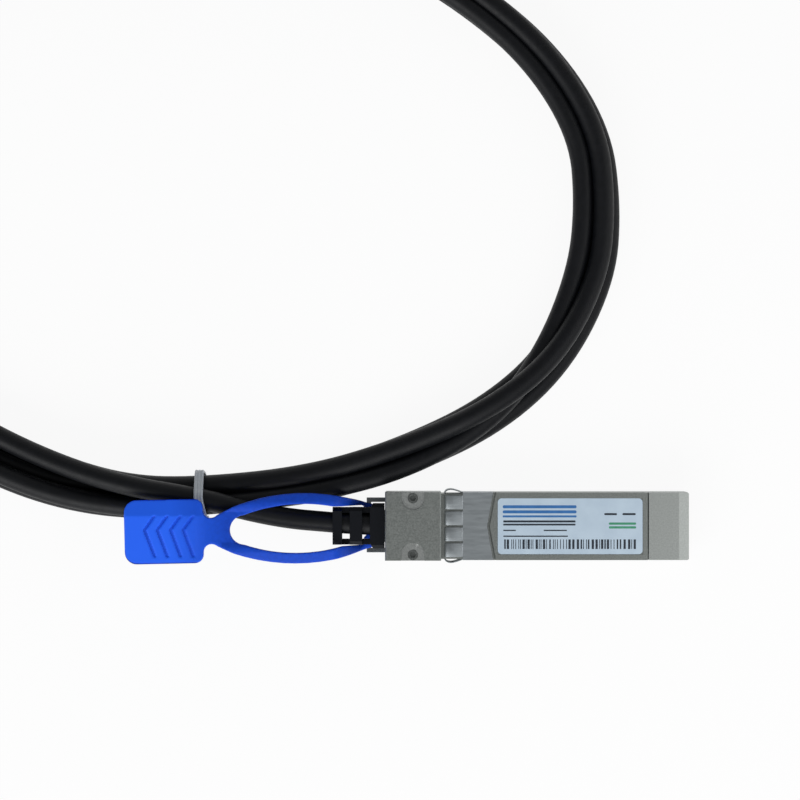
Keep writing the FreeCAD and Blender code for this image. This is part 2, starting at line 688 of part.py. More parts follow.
def wire_pair(end, name, above):
    """One shielded pair from the ferrule to the card: a flat oval lead laid on its face of the card."""
    body = new_body(end, name)
    thick = D.pair_thick
    rear = ferrule_front + 0.2
    land = card_top if above else card_low - thick
    start = cable_axis + 0.05 if above else cable_axis - thick - 0.05
    bend_out = D.card_rear - 1
    bend_in, stop = bend_out - D.pair_fall, bend_out + D.pair_land
    under = [(rear, start), (bend_in, start), (bend_out, land), (stop, land)]
    ribbon = under + [(x, y + thick) for x, y in reversed(under)]
    pad(body, sketch(body, "XZ_Plane", ribbon), D.pair_wide, midplane=True)
    return body


def crimp_ferrule(end):
    """The crimp ring on the cable's shield, with a flange that the two shells hold."""
    body = new_body(end, "crimp_ferrule")
    outer = many_sided(6, (0, cable_axis), ferrule_wide / 2)
    inner = many_sided(12, (0, cable_axis), (D.cable_thick - 0.3) / 2)
    pad(body, sketch(body, "YZ_Plane", outer, inner, lift=ferrule_rear), D.ferrule_long)
    return body


def strain_relief(end):
    """The moulded rubber boot: ribs joined by side bars, a neck in the head's rear wall and a flange inside."""
    body = new_body(end, "strain_relief")
    half, flare = D.boot_wide / 2, D.flare_wide / 2
    outline = [
        (-D.boot_long - D.fit_gap, -half),
        (-D.flare_long, -half),
        (-D.flare_long + 0.4, -flare),
        (-D.fit_gap, -flare),
        (-D.fit_gap, flare),
        (-D.flare_long + 0.4, flare),
        (-D.flare_long, half),
        (-D.boot_long - D.fit_gap, half),
    ]
    pad(body, sketch(body, "XY_Plane", outline, lift=boot_low), D.boot_high)
    dress(body, "Chamfer", 0.7, lambda e: e.BoundBox.ZLength < 1e-6 and e.BoundBox.XLength > 2)
    neck = box_outline(-0.3, D.rear_wall + 0.1, cable_axis - D.neck_high / 2, cable_axis + D.neck_high / 2)
    pad(body, sketch(body, "XZ_Plane", neck), D.neck_wide, midplane=True)
    flange = box_outline(D.rear_wall + 0.05, D.rear_wall + 0.05 + D.flange_thick, boot_low, boot_top)
    pad(body, sketch(body, "XZ_Plane", flange), D.boot_wide, midplane=True)
    passage = wide_outline(-D.boot_long - 1, D.rear_wall + D.flange_thick + 1, D.boot_room)
    low = cable_axis - D.cable_thick / 2 - D.fit_gap
    drawn = sketch(body, "XY_Plane", passage, lift=low)
    pocket(body, drawn, D.cable_thick + 2 * D.fit_gap, backwards=True)
    for slot in (0, 1):
        front = -D.boot_first - slot * D.boot_pitch
        for z0, z1 in (
            (boot_low - 1, cable_axis - D.boot_bar / 2),
            (cable_axis + D.boot_bar / 2, boot_top + 1),
        ):
            outline = box_outline(front - D.boot_slot, front, z0, z1)
            pocket(body, sketch(body, "XZ_Plane", outline), D.boot_wide + 1, midplane=True)
    return body


def latch_slider(end):
    """The stamped latch slider: cross bar and arms behind the head, a step down, a plate and two prongs."""
    body = new_body(end, "latch_slider")
    high, low, thick = D.slider_rear_low, slider_low, D.slider_thick
    under = [(-D.slider_tail, high), (step_rear, high), (step_rear + 1.8, low), (prong_tip, low)]
    ribbon = under + [(x, y + thick) for x, y in reversed(under)]
    pad(body, sketch(body, "XZ_Plane", ribbon), 2 * D.arm_outer, midplane=True)
    gap = wide_outline(-D.slider_tail + D.slider_bar, plate_rear, 2 * D.arm_inner)
    pocket(body, sketch(body, "XY_Plane", gap, lift=5), 5)
    fork = wide_outline(D.plate_front, prong_tip + 1, 2 * D.prong_inner)
    pocket(body, sketch(body, "XY_Plane", fork, lift=5), 5)
    for side in (1, -1):
        outside = box_outline(
            D.plate_front,
            prong_tip + 1,
            side * (D.prong_inner + D.prong_wide),
            side * (D.arm_outer + 1),
        )
        pocket(body, sketch(body, "XY_Plane", outside, lift=5), 5)
        # a wedge under each prong's tip pushes the cage's latch spring off the post
        wedge = [(prong_tip - 2.2, low + 0.1), (prong_tip, low - 0.85), (prong_tip, low + 0.1)]
        y0 = side * D.prong_inner if side < 0 else side * (D.prong_inner + D.prong_wide)
        pad(body, sketch(body, "XZ_Plane", wedge, lift=-y0), D.prong_wide)
    return body


def return_spring(end):
    """The folded leaf spring between the chamber's rear wall and the slider's plate."""
    body = new_body(end, "return_spring")
    thick, rear, front = 0.15, D.channel_rear + 0.1, plate_rear - 0.1
    zigzag = [(rear, -3.9), (rear, -1.9), (front - thick, -0.6), (front - thick, 0.6), (rear, 1.9), (rear, 3.9)]
    back = [(rear + thick, 3.9), (rear + thick, 2.0), (front, 0.75), (front, -0.75), (rear + thick, -2.0)]
    back += [(rear + thick, -3.9)]
    pad(body, sketch(body, "XY_Plane", zigzag + back, lift=slider_low), channel_high - slider_low - 0.3)
    return body


def cover_screws(end):
    """Two small socket-head screws that hold the cover to the base."""
    shapes = []
    head, shank, thick, key = (amount(v) for v in (D.screw_head, D.screw_shank, D.screw_head_thick, D.screw_key))
    long = amount(screw_seat - cable_axis + screw_deep) - 0.1

    def prism(count, half_flats, low, height):
        ring = [Vector(x, y, low) for x, y in many_sided(count, (0, 0), half_flats)]
        return Part.Face(Part.makePolygon(ring + ring[:1])).extrude(Vector(0, 0, height))

    for side in (1, -1):
        # the threaded length is a plain twelve-sided bar
        whole = Part.makeCylinder(head / 2, thick).fuse(prism(12, shank / 2, -long, long))
        whole = whole.cut(prism(6, key / 2, thick / 3, thick)).removeSplitter()
        whole.translate(Vector(amount(D.screw_along), side * amount(screw_off), amount(screw_seat)))
        shapes.append(whole)
    return group(end, "cover_screws", shapes)


def pull_tab(end):
    """The soft pull tab: a ring round the cable, moulded on the slider's cross bar, and a ribbed finger pad."""
    lean = 1.2 * ends[end][1]
    body = new_body(end, "pull_tab")
    thick = D.tab_thick
    under = [
        (-D.tab_front, D.tab_low),
        (-D.tab_bend, D.tab_low),
        (-D.tab_knee, D.tab_knee_low),
        (-tab_crest, tab_crest_low),
        (-pad_far - 1, tab_crest_low),
    ]
    ribbon = [(x, z + thick) for x, z in under] + list(reversed(under))
    pad(body, sketch(body, "XZ_Plane", ribbon), 2 * D.pad_wide, midplane=True)
    half_ring, half_neck, half_pad = D.ring_end_wide / 2, D.neck_tab_wide / 2, D.pad_wide / 2
    reach = (D.ring_end - D.slider_tail) / 2
    swell = (D.ring_wide - D.ring_end_wide) / 2
    bulge = (reach * reach + swell * swell) / (2 * swell)
    corner = (pad_near - neck_far) / 2 + 0.25
    upper = [
        (-D.tab_front, half_ring - 0.3),
        (-D.slider_tail, half_ring, bulge),
        (-D.ring_end, half_ring),
        (-neck_far, half_neck, -corner.value),
        (-pad_near, half_neck + 0.6),
        (-pad_near, half_pad),
        (-pad_far, half_pad),
    ]
    lower = [
        (-pad_far, -half_pad),
        (-pad_near, -half_pad),
        (-pad_near, -half_neck - 1.0, -corner.value),
        (-neck_far, -half_neck),
        (-D.ring_end, -half_ring, bulge),
        (-D.slider_tail, -half_ring),
        (-D.tab_front, -half_ring + 0.3),
    ]
    around = box_outline(-pad_far - 5, 5, -D.pad_wide - 5, D.pad_wide + 5)
    outline = sketch(body, "XY_Plane", around, upper + lower, lean=lean)
    pocket(body, outline, 2 * ALL_THROUGH, midplane=True)
    near_corner = 0.75 * (half_pad - half_neck - 1.0)
    for at, radius in ((pad_far, D.pad_corner), (pad_near, near_corner)):
        wanted = lambda e: near(e.BoundBox.XMin, -at, 0.4) and abs(e.BoundBox.YMax) > amount(half_pad) - 1.3
        dress(body, "Fillet", radius, lambda e: along(e, Z_AXIS) and wanted(e))
    # the ring's hole is an oval of four arcs
    long, broad = (hole_far - hole_near) / 2, D.ring_wide / 2 - D.ring_wall
    side_bend = (0.64 * long * long + 0.16 * broad * broad) / (0.8 * broad)
    end_bend = (0.36 * broad * broad + 0.04 * long * long) / (0.4 * long)
    ring_mid = (hole_near + hole_far) / 2
    oval = [
        (-ring_mid - 0.8 * long, -0.6 * broad, side_bend),
        (-ring_mid + 0.8 * long, -0.6 * broad, end_bend),
        (-ring_mid + 0.8 * long, 0.6 * broad, side_bend),
        (-ring_mid - 0.8 * long, 0.6 * broad, end_bend),
    ]
    pocket(body, sketch(body, "XY_Plane", oval, lean=lean), 2 * ALL_THROUGH, midplane=True)
    bar_rear = D.slider_tail + 0.6
    boot_gap = D.boot_wide / 2 + 0.25
    passage = box_outline(-D.boot_long - 0.7, -bar_rear, -boot_gap, boot_gap)
    pocket(body, sketch(body, "XY_Plane", passage), 2 * ALL_THROUGH, midplane=True)
    # the slider's cross bar is moulded in
    bar = wide_outline(-D.slider_tail, -D.slider_tail + D.slider_bar, 2 * D.arm_outer)
    pocket(body, sketch(body, "XY_Plane", bar, lift=D.slider_rear_low), D.slider_thick, backwards=True)
    # chevron grooves for grip
    apex, slant, wide = -pad_near - D.rib_inset, D.rib_slant, D.rib_wide
    chevron = [
        (apex, 0),
        (apex + slant, D.rib_reach),
        (apex + slant - wide, D.rib_reach),
        (apex - wide, 0),
        (apex + slant - wide, -D.rib_reach),
        (apex + slant, -D.rib_reach),
    ]
    drawn = sketch(body, "XY_Plane", chevron, lift=tab_crest_low + thick, lean=lean)
    groove = pocket(body, drawn, D.rib_deep)
    rows = body.newObject("PartDesign::LinearPattern", f"{body.Name}_ribs")
    rows.Originals = [groove]
    rows.Direction = (next(f for f in body.Origin.OriginFeatures if f.Role == "X_Axis"), [""])
    rows.Reversed = True
    bind(rows, "Length", 3 * D.rib_pitch)
    rows.Occurrences = 4
    body.Tip = rows
    return body


def tangent_radius(height, bend, across):
    """The radius of an arc that is level at the coil's edge and runs smoothly into the end's bend."""
    return (across**2 + height**2 - bend**2) / (2 * (height - bend))


def coil_arcs():
    """The coil's outer edge, a closed line of tangent arcs: each arc's centre, radius, start angle and turn."""
    middle, low_x = D.coil_mid.value, -D.coil_low_at.value
    height = middle - D.coil_low.value
    arcs = []
    for edge, bend, side in (
        (D.coil_right.value, D.coil_right_bend.value, 1),
        (-D.coil_left.value, D.coil_left_bend.value, -1),
    ):
        centre = Vector(edge - side * bend, middle, 0)
        radius = tangent_radius(height, bend, abs(centre.x - low_x))
        for half in (-1, 1):
            wide_centre = Vector(low_x, middle + half * (height - radius), 0)
            away = centre - wide_centre
            joint = math.degrees(math.atan2(away.y, away.x))
            level = 90 * half
            arcs.append((wide_centre, radius, level, (joint - level + 180) % 360 - 180))
            outermost = 0 if side > 0 else 180
            arcs.append((centre, bend, joint, (outermost - joint + 180) % 360 - 180))
    return arcs


def cable_coil():
    """The coiled cable as one closed ring: a wide lower layer of turns, a narrower one on it, notched for the tie."""
    half, high, flank = D.coil_wide.value / 2, D.coil_high.value, D.coil_flank.value
    section = [(-half, 0), (half, 0), (half, flank), (-0.9, high), (-half, high)]
    pieces, turn_long = [], 0
    for centre, radius, start, turn in coil_arcs():
        out = Vector(math.cos(math.radians(start)), math.sin(math.radians(start)), 0)
        corners = [centre + out * (radius - half + u) + Vector(0, 0, z) for u, z in section]
        face = Part.Face(Part.makePolygon(corners + corners[:1]))
        pieces.append(face.revolve(centre, Vector(0, 0, 1), turn))
        turn_long += abs(math.radians(turn)) * (radius - half)
    solid = pieces[0].multiFuse(pieces[1:]).removeSplitter()
    notch = Part.makeBox(
        D.tie_wide.value + 0.1,
        D.coil_wide.value + 8,
        D.tie_thick.value + 0.1,
        Vector(-D.tie_at.value - D.tie_wide.value / 2 - 0.05, D.coil_low.value - 4, -0.01),
    )
    made = doc.addObject("Part::Feature", "cable_coil")
    made.Label = "cable_coil"
    made.Shape = solid.cut(notch)
    subparts.append(made)
    print("mean coil turn", round(turn_long, 1), "mm")
    return made


# from each plug to the coil: the near lead climbs over the bundle, the far one runs down its outer side
axis, over_coil = cable_axis.value, D.coil_high.value + 2.8
LEAD_ROUTES = {
    "near": [(2.1, 0.0, axis), (-24.0, 1.0, axis), (-50.0, 8.4, over_coil), (-75.0, 15.5, 5.5)],
    "far": [(2.1, 0.0, axis), (-20.0, -0.3, axis), (-43.0, -4.0, 3.4), (-64.0, -8.2, 2.2)],
}


def cable_lead(end):
    """The cable from the ferrule over the bundle to where it joins the coil, as runs joined by tangent arcs."""
    place = ends[end][0]
    points = [Vector(*point) for point in LEAD_ROUTES[end]]
    thick = D.cable_thick.value
    edges, pieces, reached = [], [], points[0]

    # the tube's section has twelve sides, and the area of the round cable
    sides = 12
    rim = thick / 2 * math.sqrt(math.pi / (sides / 2 * math.sin(2 * math.pi / sides)))

    def disc(at, way):
        level = Vector(way.y, -way.x, 0).normalize()
        up = way.cross(level).normalize()
        turns = (2 * math.pi * (i + 0.5) / sides for i in range(sides))
        corners = [at + level * (rim * math.cos(a)) + up * (rim * math.sin(a)) for a in turns]
        return Part.Face(Part.makePolygon(corners + corners[:1]))

    for before, corner, after in zip(points, points[1:], points[2:]):
        into, out = (corner - before), (after - corner)
        turn = into.getAngle(out)
        cut = 0.45 * min(into.Length, out.Length)
        radius = cut / math.tan(turn / 2)
        enter = corner - into.normalize() * cut
        leave = corner + out.normalize() * cut
        inward = ((enter - corner) + (leave - corner)).normalize()
        centre = corner + inward * (radius / math.cos(turn / 2))
        edges += [Part.LineSegment(reached, enter).toShape()]
        edges += [Part.Arc(enter, centre - inward * radius, leave).toShape()]
        pieces.append(disc(reached, into).extrude(enter - reached))
        pieces.append(disc(enter, into).revolve(centre, into.cross(out), math.degrees(turn)))
        reached = leave
        print(f"{end} lead: bend of radius {radius:.0f} mm, turn {math.degrees(turn):.0f} degrees")
    edges.append(Part.LineSegment(reached, points[-1]).toShape())
    pieces.append(disc(reached, out).extrude(points[-1] - reached))
    solid = pieces[0].multiFuse(pieces[1:]).removeSplitter().Solids[0]
    expected = math.pi * thick**2 / 4 * Part.Wire(edges).Length
    if abs(solid.Volume - expected) > 0.01 * expected:
        raise RuntimeError("the cable tube's volume isn't its section times its length")
    made = doc.addObject("Part::Feature", f"{end}_lead")
    made.Label = f"{end}_lead"
    made.Shape = solid
    made.Placement = Placement(place, Rotation())
    subparts.append(made)
    return made


def cable_tie():
    """The nylon tie round the bundle and the lead that crosses it, with its head on the outer side."""
    low, wide = D.tie_thick.value + 0.05, D.tie_wide.value
    outer_edge = D.coil_low.value - 0.6
    inner_edge = D.coil_low.value + D.coil_wide.value + 0.15
    crest = tab_crest_low.value - D.tie_thick.value - 0.15
    loop = [
        (outer_edge, low),
        (inner_edge, low),
        (inner_edge, D.coil_high.value + 0.15),
        (outer_edge + 4.2, crest),
        (outer_edge + 1.3, crest),
        (outer_edge, crest - 1.4),
    ]
    rear = -D.tie_at.value - wide / 2
    corners = [Vector(rear, y, z) for y, z in loop]
    inside = Part.Face(Part.makePolygon(corners + corners[:1]))
    outside = inside.makeOffset2D(D.tie_thick.value, 2)
    band = outside.cut(inside).extrude(Vector(wide, 0, 0))
    head = Part.makeBox(
        D.tie_head.value,
        2.4,
        D.tie_head.value,
        Vector(-D.tie_at.value - D.tie_head.value / 2, loop[0][0] - D.tie_thick.value - 2.0, 3.4),
    )
    made = doc.addObject("Part::Feature", "cable_tie")
    made.Label = "cable_tie"
    made.Shape = band.fuse(head).removeSplitter()
    subparts.append(made)
    return made


for end in ends:
    base_shell(end)
    top_cover(end)
    spring_collar(end)
    label(end)
    paddle_card(end)
    edge_contacts(end)
    card_chips(end)
    wire_pair(end, "transmit_pair", above=True)
    wire_pair(end, "receive_pair", above=False)
    crimp_ferrule(end)
    strain_relief(end)
    latch_slider(end)
    return_spring(end)
    cover_screws(end)
    pull_tab(end)
    cable_lead(end)
cable_coil()
cable_tie()

doc.recompute()
for thing in doc.Objects:
    if {"Invalid", "Error"} & set(thing.State):
        raise RuntimeError(f"{thing.Label} failed: {thing.State}")
for subpart in subparts:
    if subpart.Shape.isNull() or not subpart.Shape.isValid():
        raise RuntimeError(f"{subpart.Label} has no valid shape")

os.makedirs("parts", exist_ok=True)
for subpart in subparts:
    subpart.Shape.exportStep(f"parts/{subpart.Label}.step")
print(len(subparts), "sub-parts")
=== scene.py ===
import math
import random

import bpy
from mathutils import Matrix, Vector


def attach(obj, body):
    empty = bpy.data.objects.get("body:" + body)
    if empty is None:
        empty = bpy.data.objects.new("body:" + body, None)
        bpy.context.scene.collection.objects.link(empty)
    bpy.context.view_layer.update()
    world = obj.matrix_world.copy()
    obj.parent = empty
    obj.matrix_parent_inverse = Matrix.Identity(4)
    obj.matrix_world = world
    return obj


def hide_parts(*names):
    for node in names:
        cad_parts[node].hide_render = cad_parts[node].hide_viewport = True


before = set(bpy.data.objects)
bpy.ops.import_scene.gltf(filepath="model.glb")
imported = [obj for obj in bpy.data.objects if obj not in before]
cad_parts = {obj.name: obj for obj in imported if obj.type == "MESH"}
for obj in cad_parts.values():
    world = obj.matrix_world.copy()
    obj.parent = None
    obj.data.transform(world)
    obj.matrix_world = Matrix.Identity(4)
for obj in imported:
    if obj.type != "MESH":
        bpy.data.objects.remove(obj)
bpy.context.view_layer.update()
mm = 0.001

# ---------------------------------------------------------------- camera
# Straight above the plug and the near side of the coil, far enough off to look almost flat.
camera_data = bpy.data.cameras.new("camera")
camera_data.lens = 134.33
camera_data.sensor_width = 36
camera_data.clip_start = 0.01
camera = bpy.data.objects.new("camera", camera_data)
camera.location = (2.967 * mm, 24.985 * mm, 600 * mm)
bpy.context.scene.collection.objects.link(camera)
bpy.context.scene.camera = camera
bpy.context.scene.view_settings.view_transform = "Standard"


# ---------------------------------------------------------------- table and light
# A white table, a large soft box in front, a small one beside the plug's nose, two long strips on the right
# and behind that draw the cable's edges, and an even sky.
def srgb(code):
    """A linear colour from a hex code."""
    parts = [int(code[i : i + 2], 16) / 255 for i in (0, 2, 4)]
    linear = [c / 12.92 if c <= 0.04045 else ((c + 0.055) / 1.055) ** 2.4 for c in parts]
    return (*linear, 1)


def add_node(tree, kind, inputs=None, **settings):
    """A shader node with its settings, and its sockets set or linked."""
    node = tree.nodes.new(f"ShaderNode{kind}")
    for name, value in settings.items():
        setattr(node, name, value)
    for name, value in (inputs or {}).items():
        if isinstance(value, bpy.types.NodeSocket):
            tree.links.new(value, node.inputs[name])
        else:
            node.inputs[name].default_value = value
    return node


def add_light(name, size, power, place, target):
    """A rectangular lamp at a place, turned to a target."""
    data = bpy.data.lights.new(name, "AREA")
    data.shape = "RECTANGLE"
    data.size, data.size_y = size
    data.energy = power
    lamp = bpy.data.objects.new(name, data)
    lamp.location = place
    lamp.rotation_euler = (Vector(target) - Vector(place)).to_track_quat("-Z", "Y").to_euler()
    bpy.context.scene.collection.objects.link(lamp)


add_light("front_box", (1.0, 0.6), 6.4, (-0.25, -0.6, 0.45), (0, 0.03, 0))
add_light("side_box", (0.08, 0.2), 0.045, (0.15, -0.02, 0.12), (0.055, 0, 0.01))
add_light("right_strip", (0.2, 1.2), 1.6, (0.8, 0.15, 0.2), (0, 0.05, 0))
add_light("rear_strip", (1.3, 0.3), 0.7, (0.1, 0.8, 0.3), (0, 0.05, 0))
world = bpy.data.worlds.new("world")
bpy.context.scene.world = world
world.use_nodes = True
sky = world.node_tree.nodes["Background"]
sky.inputs["Color"].default_value = (0.96, 0.98, 1, 1)
sky.inputs["Strength"].default_value = 0.25

bpy.ops.mesh.primitive_plane_add(size=2)
floor = bpy.context.object
floor.name = "floor"
table = bpy.data.materials.new("white_table")
table.use_nodes = True
shade = table.node_tree.nodes["Principled BSDF"]
shade.inputs["Base Color"].default_value = srgb("f6f6f6")
shade.inputs["Roughness"].default_value = 0.7
# the camera and the metal's gloss see the table as a white backdrop that keeps a little of the shadow
backdrop_share = 0.92
glow = add_node(table.node_tree, "Emission", {"Strength": 1.0})
path = add_node(table.node_tree, "LightPath")
seen = path.outputs["Is Camera Ray"]
for ray in ("Is Glossy Ray", "Is Transmission Ray"):
    either = add_node(table.node_tree, "Math", {0: seen, 1: path.outputs[ray]}, operation="MAXIMUM")
    seen = either.outputs[0]
share = add_node(table.node_tree, "Math", {0: seen, 1: backdrop_share}, operation="MULTIPLY").outputs[0]
blend = add_node(table.node_tree, "MixShader", {"Fac": share, 1: shade.outputs[0], 2: glow.outputs[0]})
table.node_tree.links.new(blend.outputs[0], table.node_tree.nodes["Material Output"].inputs["Surface"])
floor.data.materials.append(table)


# ---------------------------------------------------------------- die-cast shells
# Base and cover of each plug: zinc alloy castings with a matt nickel finish, so a fine dull grain, and
# edges that were tumbled round, with a painted highlight on the rounds.
def surface(name, light, dark, grain, rough, bump, metallic=0.0, stretch=(1, 1, 1), **sockets):
    """A finish whose colour, gloss and relief all follow one grain, its size in millimetres."""
    material = bpy.data.materials.new(name)
    material.use_nodes = True
    tree = material.node_tree
    shader = tree.nodes["Principled BSDF"]
    shader.inputs["Metallic"].default_value = metallic
    for socket, value in sockets.items():
        shader.inputs[socket.replace("_", " ")].default_value = value
    place = add_node(tree, "TexCoord").outputs["Object"]
    spread = add_node(tree, "Mapping", {"Vector": place, "Scale": stretch}).outputs["Vector"]
    pattern = {"Vector": spread, "Scale": 1 / (grain * mm), "Detail": 4.0}
    noise = add_node(tree, "TexNoise", pattern).outputs["Fac"]
    ramp = add_node(tree, "ValToRGB", {"Fac": noise})
    low, high = ramp.color_ramp.elements
    low.position, high.position = 0.35, 0.68
    low.color, high.color = srgb(dark), srgb(light)
    tree.links.new(ramp.outputs["Color"], shader.inputs["Base Color"])
    sheen = {"Value": noise, "From Min": 0.3, "From Max": 0.7, "To Min": rough[0], "To Max": rough[1]}
    tree.links.new(add_node(tree, "MapRange", sheen).outputs["Result"], shader.inputs["Roughness"])
    relief = add_node(tree, "Bump", {"Height": noise, "Strength": bump, "Distance": 0.05 * mm})
    tree.links.new(relief.outputs["Normal"], shader.inputs["Normal"])
    return material


def only(piece):
    """Makes a piece the one that is selected and active."""
    bpy.ops.object.select_all(action="DESELECT")
    piece.select_set(True)
    bpy.context.view_layer.objects.active = piece


def apply(piece, kind, **settings):
    """Adds a modifier to a piece and applies it."""
    only(piece)
    modifier = piece.modifiers.new(kind.lower(), kind)
    for name, value in settings.items():
        setattr(modifier, name, value)
    bpy.ops.object.modifier_apply(modifier=modifier.name)


def welded_copy(node, name):
    """A copy of a CAD piece, merged into whole faces."""
    piece = bpy.data.objects.new(name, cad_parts[node].data.copy())
    piece.data.materials.clear()
    bpy.context.scene.collection.objects.link(piece)
    only(piece)
    bpy.ops.object.mode_set(mode="EDIT")
    bpy.ops.mesh.select_all(action="SELECT")
    bpy.ops.mesh.remove_doubles(threshold=1e-6)
    bpy.ops.mesh.dissolve_limited(angle_limit=math.radians(2))
    bpy.ops.object.mode_set(mode="OBJECT")
    return piece


def raise_outline(height):
    """Extrudes the selected flat outline to a height, turns its faces outwards and leaves edit mode."""
    bpy.ops.mesh.extrude_region_move(TRANSFORM_OT_translate={"value": (0, 0, height)})
    bpy.ops.mesh.select_all(action="SELECT")
    bpy.ops.mesh.normals_make_consistent(inside=False)
    bpy.ops.object.mode_set(mode="OBJECT")


def break_edges(piece, width, segments=2, angle=28):
    """Rounds a piece's sharp edges over a width, on its second material, which paints a highlight on the
    rounds, and keeps its flat faces flat.
    """
    rounding = {"width": width * mm, "segments": segments, "material": 1}
    apply(piece, "BEVEL", limit_method="ANGLE", angle_limit=math.radians(angle), **rounding)
    bpy.ops.object.shade_smooth()
    apply(piece, "WEIGHTED_NORMAL", weight=100, keep_sharp=True)


def finish(piece, material, edges, body, slot, *nodes):
    """Gives a piece its two finishes, flat and edge, its body and the CAD nodes that it stands for."""
    piece.data.materials.append(material)
    piece.data.materials.append(edges)
    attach(piece, body)
    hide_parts(*nodes)


# each plug, and where its middle lies in y
ends = {"near": 0, "far": 128}
base_zinc = surface("base_zinc", "bcc0bd", "adb1ae", 0.3, (0.42, 0.54), 0.2, 1.0)
cover_zinc = surface("cover_zinc", "9b9f9c", "8c908d", 0.3, (0.42, 0.54), 0.2, 1.0)
# the rounded edges get a lighter zinc: a painted highlight on them
zinc_edge_highlight = surface("zinc_edge_highlight", "e6e8e6", "cfd2cf", 0.3, (0.3, 0.42), 0.1, 1.0)
milled_zinc = surface("milled_zinc", "b9bcb9", "a9acaa", 0.2, (0.36, 0.48), 0.1, 1.0)
lip, nose, lip_drop, corner_zone, body_half, body_low, body_top = 57.9, 60.2, 0.2, 0.3, 6.7, 0.75, 9.3
head_top, screw_pad_sunk = 10.6, 0.3
collar_rear, finger_root, collar_front, belly = 11.9, 15.4, 21.4, 1.0
slit_half, slit_gap, slit_wide, slit_deep = 7, 0.3, 0.35, 0.5
for end, middle in ends.items():
    # the nose slopes off over its last 2.3 mm, as a lead-in
    base = welded_copy(f"{end}_base_shell", f"{end}_base_casting")
    bpy.ops.object.mode_set(mode="EDIT")
    bpy.ops.mesh.select_all(action="SELECT")
    bpy.ops.mesh.bisect(plane_co=(lip * mm, 0, 0), plane_no=(1, 0, 0))
    bpy.ops.object.mode_set(mode="OBJECT")
    for vertex in base.data.vertices:
        x, _, z = vertex.co / mm
        if x > nose - corner_zone and z > body_top - corner_zone:
            vertex.co.z -= lip_drop * mm
    break_edges(base, 0.12, angle=5)
    finish(base, base_zinc, zinc_edge_highlight, "cable_assembly", "cast_zinc", f"{end}_base_shell")

    # a narrow slit runs across the cover, along the collar's front edge
    cover = welded_copy(f"{end}_top_cover", f"{end}_cover_casting")
    bpy.ops.mesh.primitive_circle_add(vertices=6, fill_type="NGON")
    cutter = bpy.context.object
    rear_side = [(slit_gap, slit_half), (-belly, 0), (slit_gap, -slit_half)]
    front_side = [(x + slit_wide, y) for x, y in reversed(rear_side)]
    for vertex, (x, y) in zip(cutter.data.vertices, rear_side + front_side):
        vertex.co = ((collar_front + x) * mm, (middle + y) * mm, (body_top - slit_deep) * mm)
    bpy.ops.object.mode_set(mode="EDIT")
    bpy.ops.mesh.select_all(action="SELECT")
    raise_outline(2 * slit_deep * mm)
    apply(cover, "BOOLEAN", object=cutter, operation="DIFFERENCE", solver="EXACT")
    bpy.data.objects.remove(cutter)
    break_edges(cover, 0.18)
    finish(cover, cover_zinc, zinc_edge_highlight, "cable_assembly", "cast_zinc", f"{end}_top_cover")
    # the pads under the screws are milled, so they are brighter
    cover.data.materials.append(milled_zinc)
    for face in cover.data.polygons:
        if face.normal.z > 0.99 and abs(face.center.z - (head_top - screw_pad_sunk) * mm) < 0.05 * mm:
            face.material_index = 2

# ---------------------------------------------------------------- spring collars
# Thin stainless steel, stamped and folded round the plug. Its fingers are bowed outwards like leaf springs
# and have the bright lengthwise lines of rolled sheet.
def join(pieces):
    """Joins pieces into the first of them."""
    only(pieces[0])
    for piece in pieces:
        piece.select_set(True)
    bpy.ops.object.join()


# the grain is drawn out along the fingers
lengthwise = (0.15, 1, 1)
stainless = surface("rolled_stainless", "a9afb2", "a1a7aa", 0.5, (0.42, 0.5), 0.04, 1.0, lengthwise)
# the cut edges of the sheet get a lighter steel: a painted highlight on them
stainless_highlight_edge = surface("stainless_edge_highlight", "e4e9ee", "c8ced6", 0.5, (0.25, 0.35), 0.05, 1.0)
sheet, finger_long, finger_wide, finger_pitch = 0.2, 3.5, 2.7, 3.15
